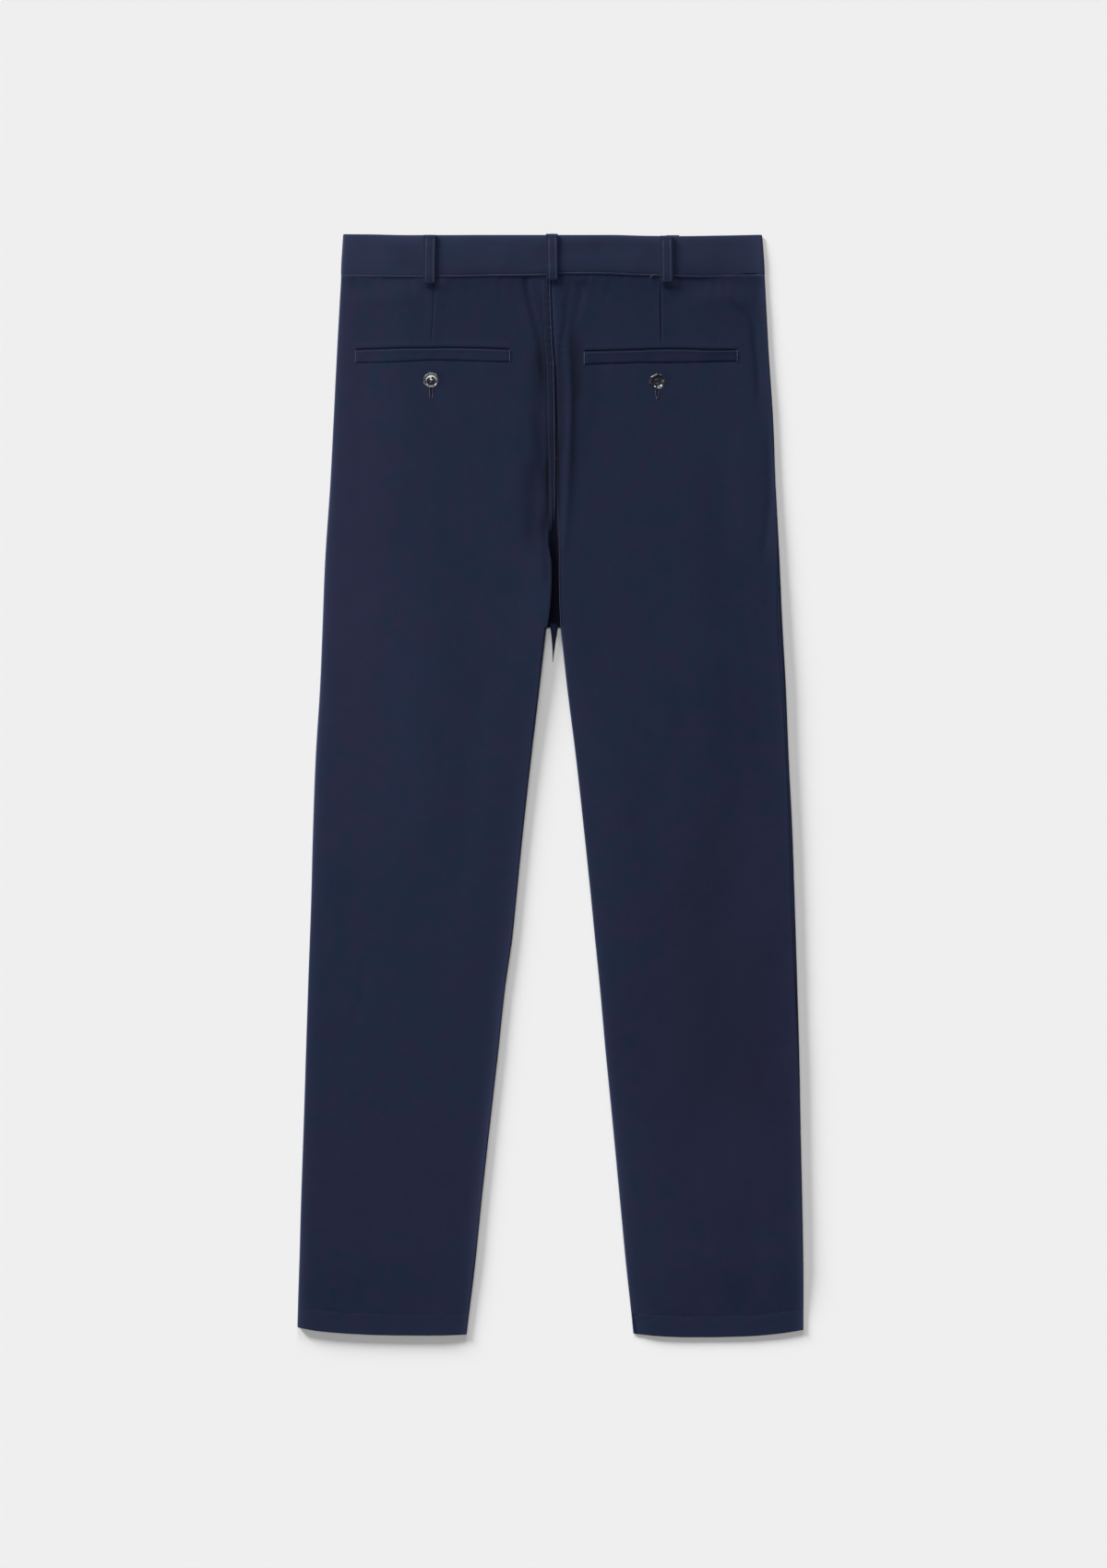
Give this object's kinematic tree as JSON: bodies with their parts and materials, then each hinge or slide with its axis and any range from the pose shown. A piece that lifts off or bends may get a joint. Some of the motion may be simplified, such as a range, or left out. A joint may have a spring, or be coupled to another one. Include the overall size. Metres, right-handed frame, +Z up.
{
  "type": "chino trousers",
  "caption": "Chino trousers laid flat with the back up: waistband with belt loops, buttoned welt pockets, centre back seam and long, lightly tapered legs with plain hems.",
  "frame": {"origin": "on the surface the trousers lie on, in the middle of their width and length", "axes": "+Y from the hems to the waist, +X towards the wearer's right, +Z up, out of the trousers' back"},
  "size_m": [0.4768, 1.0406, 0.0108],
  "materials": {
    "twill": "dark navy cotton twill, matt, with a fine diagonal weave",
    "band_twill": "the same navy twill doubled over a stiffener, a little lighter",
    "button": "dark navy resin, polished, four-hole"
  },
  "bodies": {
    "root": {"back_left": "twill", "back_right": "twill", "front_left": "twill", "front_right": "twill", "waistband_left": "band_twill", "waistband_right": "band_twill", "belt_loop_back_left": "band_twill", "belt_loop_back_centre": "band_twill", "belt_loop_back_right": "band_twill", "belt_loop_front_left": "band_twill", "belt_loop_front_right": "band_twill", "pocket_welt_left": "twill", "pocket_welt_right": "twill", "pocket_button_left": "button", "pocket_button_right": "button", "waist_button": "button"}
  },
  "joints": []
}
